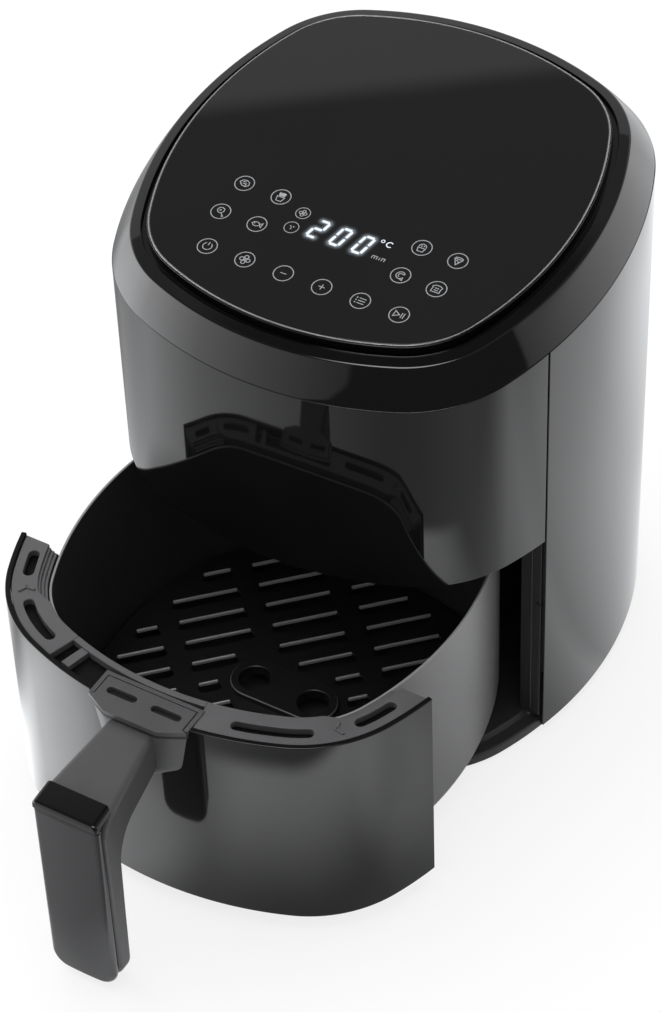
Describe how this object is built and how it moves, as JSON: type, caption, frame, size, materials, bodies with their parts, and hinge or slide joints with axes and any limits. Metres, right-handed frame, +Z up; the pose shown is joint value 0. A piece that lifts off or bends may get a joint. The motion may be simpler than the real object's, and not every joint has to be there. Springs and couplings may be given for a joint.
{
  "type": "air_fryer",
  "caption": "Digital air fryer with a gloss dark grey rounded-square body, black touch glass on top and a pull-out drawer holding a slotted crisper plate.",
  "frame": {"origin": "On the floor, under the middle of the body", "axes": "+X to the right of someone facing the drawer, +Y to the back, +Z up. The drawer opens towards -Y."},
  "size_m": [0.27, 0.4693, 0.3319],
  "materials": {
    "gloss_shell": "gloss dark grey",
    "piano_black": "mirror gloss black",
    "touch_glass": "black backed glass",
    "pale_trim": "satin",
    "black_plastic": "fine texture",
    "grey_plastic": "fine texture",
    "handle_plastic": "soft satin",
    "handle_gloss": "gloss dark grey",
    "nonstick": "satin non-stick coating",
    "bare_steel": "bright",
    "heater_sheath": "dull oxide",
    "fan_metal": "satin",
    "motor_iron": "laminated",
    "bush_brass": "plain",
    "circuit_board": "solder mask",
    "component_black": "moulded",
    "relay_blue": "moulded",
    "display_window": "smoked",
    "foot_rubber": "matte"
  },
  "bodies": {
    "body": {"side_shell_left": "gloss_shell", "side_shell_right": "gloss_shell", "rear_cover": "gloss_shell", "front_upper_panel": "gloss_shell", "rear_vent_grille": "black_plastic", "cord_gland": "black_plastic", "base_pan": "black_plastic", "feet": "foot_rubber", "base_screws": "bare_steel", "drawer_rails": "black_plastic", "opening_jambs": "black_plastic", "switch_body": "component_black", "chamber_collar": "black_plastic", "cooking_liner": "bare_steel", "heater_guard": "bare_steel", "heating_element": "heater_sheath", "heater_clips": "bare_steel", "reflector_screws": "bare_steel", "heater_reflector": "bare_steel", "temperature_sensor": "bare_steel", "thermal_fuse": "component_black", "shield_spacers": "bare_steel", "heat_shield": "bare_steel", "motor_bracket": "bare_steel", "motor_stator": "motor_iron", "motor_screws": "bare_steel", "motor_end_cap": "fan_metal", "shaft_bushes": "bush_brass", "power_board": "circuit_board", "power_board_spacers": "black_plastic", "power_transformer": "motor_iron", "power_relay": "relay_blue", "power_capacitors": "component_black", "top_cover": "piano_black", "control_glass": "touch_glass", "glass_trim_ring": "pale_trim", "control_board": "circuit_board", "display_module": "display_window", "board_posts": "black_plastic"},
    "rotor": {"motor_shaft": "bare_steel", "motor_rotor": "motor_iron", "hot_air_fan": "fan_metal", "cooling_fan": "fan_metal", "fan_nut": "bare_steel"},
    "plunger": {"switch_plunger": "grey_plastic"},
    "drawer": {"pan": "nonstick", "drawer_rim": "grey_plastic", "drawer_front_panel": "gloss_shell", "drawer_backing": "grey_plastic", "handle_bracket": "handle_plastic", "handle_arm": "handle_plastic", "handle_grip_front": "handle_gloss", "handle_accent": "piano_black", "handle_screws": "bare_steel"},
    "crisper": {"crisper_plate": "nonstick", "crisper_bumpers": "foot_rubber"}
  },
  "joints": [
    {"name": "drawer_slide", "type": "slide", "parent": "body", "child": "drawer", "axis": [0, -1, 0], "range_m": [-0.122, 0.13]},
    {"name": "crisper_lift", "type": "slide", "parent": "drawer", "child": "crisper", "axis": [0, 0, 1], "range_m": [0, 0.112]},
    {"name": "fan_spin", "type": "hinge", "parent": "body", "child": "rotor", "pos_m": [0, 0, 0.24], "axis": [0, 0, 1], "continuous": true},
    {"name": "switch_press", "type": "slide", "parent": "body", "child": "plunger", "axis": [0, 1, 0], "range_m": [0, 0.001], "stiffness_N_per_m": 300, "springref_m": -0.002}
  ]
}
